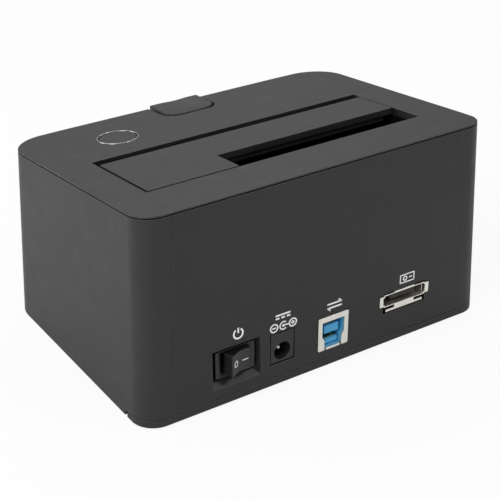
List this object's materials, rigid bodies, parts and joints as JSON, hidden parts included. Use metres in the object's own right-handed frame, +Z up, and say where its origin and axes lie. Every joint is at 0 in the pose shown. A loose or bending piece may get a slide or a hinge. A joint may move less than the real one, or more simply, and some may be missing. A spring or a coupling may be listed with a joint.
{
  "type": "hard drive docking station",
  "caption": "Upright drive dock: flared housing with sloping top, sprung drive flap, eject button with lever, round button, and a rear panel with switch, power, USB and eSATA sockets.",
  "frame": {"origin": "bottom centre of the bounding box, on the surface the rubber feet stand on, 0.8 mm behind the middle of the housing", "axes": "+X to the side of the switch, +Y towards the rear panel with the sockets, +Z up"},
  "size_m": [0.1354, 0.0976, 0.0718],
  "materials": {
    "shell_plastic": "fine sparkled matt black",
    "cover_plastic": "fine sparkled matt black",
    "panel_plastic": "fine matt black",
    "base_plastic": "fine matt black",
    "foot_rubber": "matt",
    "inner_plastic": "matt black",
    "flap_plastic": "fine matt black",
    "pin_steel": "ground",
    "spring_steel": "drawn wire",
    "button_plastic": "fine matt black",
    "lever_plastic": "moulded",
    "bright_ring": "polished",
    "round_button_plastic": "fine matt black",
    "tact_plunger_plastic": "moulded",
    "tact_body_plastic": "moulded",
    "circuit_board": "green solder mask",
    "screw_steel": "zinc plated",
    "connector_plastic": "moulded",
    "contact_gold": "gold plated",
    "chip_plastic": "moulded",
    "can_metal": "bright",
    "switch_plastic": "moulded",
    "rocker_plastic": "moulded",
    "terminal_brass": "stamped",
    "jack_plastic": "moulded",
    "tinned_shell": "bright tinned",
    "blue_plastic": "moulded"
  },
  "bodies": {
    "chassis": {"body_shell": "shell_plastic", "top_cover": "cover_plastic", "rear_panel": "panel_plastic", "base_cover": "base_plastic", "rubber_feet": "foot_rubber", "drive_cradle": "inner_plastic", "flap_pin": "pin_steel", "flap_spring": "spring_steel", "eject_spring": "spring_steel", "lever_pin": "pin_steel", "button_ring": "bright_ring", "tact_switch": "tact_body_plastic", "key_board": "circuit_board", "key_board_screws": "screw_steel", "main_board": "circuit_board", "board_screws": "screw_steel", "base_screws": "screw_steel", "cover_screws": "screw_steel", "sata_receptacle": "connector_plastic", "sata_contacts": "contact_gold", "bridge_chip": "chip_plastic", "crystal": "can_metal", "capacitors": "can_metal", "switch_body": "switch_plastic", "switch_terminals": "terminal_brass", "jack_body": "jack_plastic", "jack_pin": "pin_steel", "usb_shell": "tinned_shell", "usb_insert": "blue_plastic", "usb_contacts": "contact_gold", "esata_shell": "tinned_shell", "esata_insert": "connector_plastic", "esata_contacts": "contact_gold"},
    "flap": {"flap_door": "flap_plastic"},
    "eject_key": {"eject_button": "button_plastic", "eject_clip": "pin_steel"},
    "lever": {"eject_lever": "lever_plastic"},
    "round_key": {"round_button": "round_button_plastic", "tact_plunger": "tact_plunger_plastic"},
    "rocker": {"switch_rocker": "rocker_plastic"}
  },
  "joints": [
    {"name": "flap_hinge", "type": "hinge", "parent": "chassis", "child": "flap", "pos_m": [0, -0.00434, 0.06261], "axis": [-1, 0, 0], "range_deg": [0, 96.6], "stiffness_Nm_per_rad": 0.006, "springref_deg": -34.38, "deforming": ["flap_spring"]},
    {"name": "eject_press", "type": "slide", "parent": "chassis", "child": "eject_key", "axis": [0, 0, -1], "range_m": [0, 0.004], "stiffness_N_per_m": 250, "springref_m": -0.002, "deforming": ["eject_spring"]},
    {"name": "lever_turn", "type": "hinge", "parent": "chassis", "child": "lever", "pos_m": [0, -0.01639, 0.0263], "axis": [1, 0, 0], "range_deg": [0, 10.63]},
    {"name": "round_press", "type": "slide", "parent": "chassis", "child": "round_key", "axis": [0, 0.1149, -0.9934], "range_m": [0, 0.0005], "stiffness_N_per_m": 2000, "springref_m": -0.0003},
    {"name": "rocker_tilt", "type": "hinge", "parent": "chassis", "child": "rocker", "pos_m": [0.03415, 0.0434, 0.0148], "axis": [0, 0, -1], "range_deg": [0, 25]}
  ],
  "couplings": [
    {"joint": "lever_turn", "follows": "eject_press", "rad_per_m": 46.119}
  ]
}
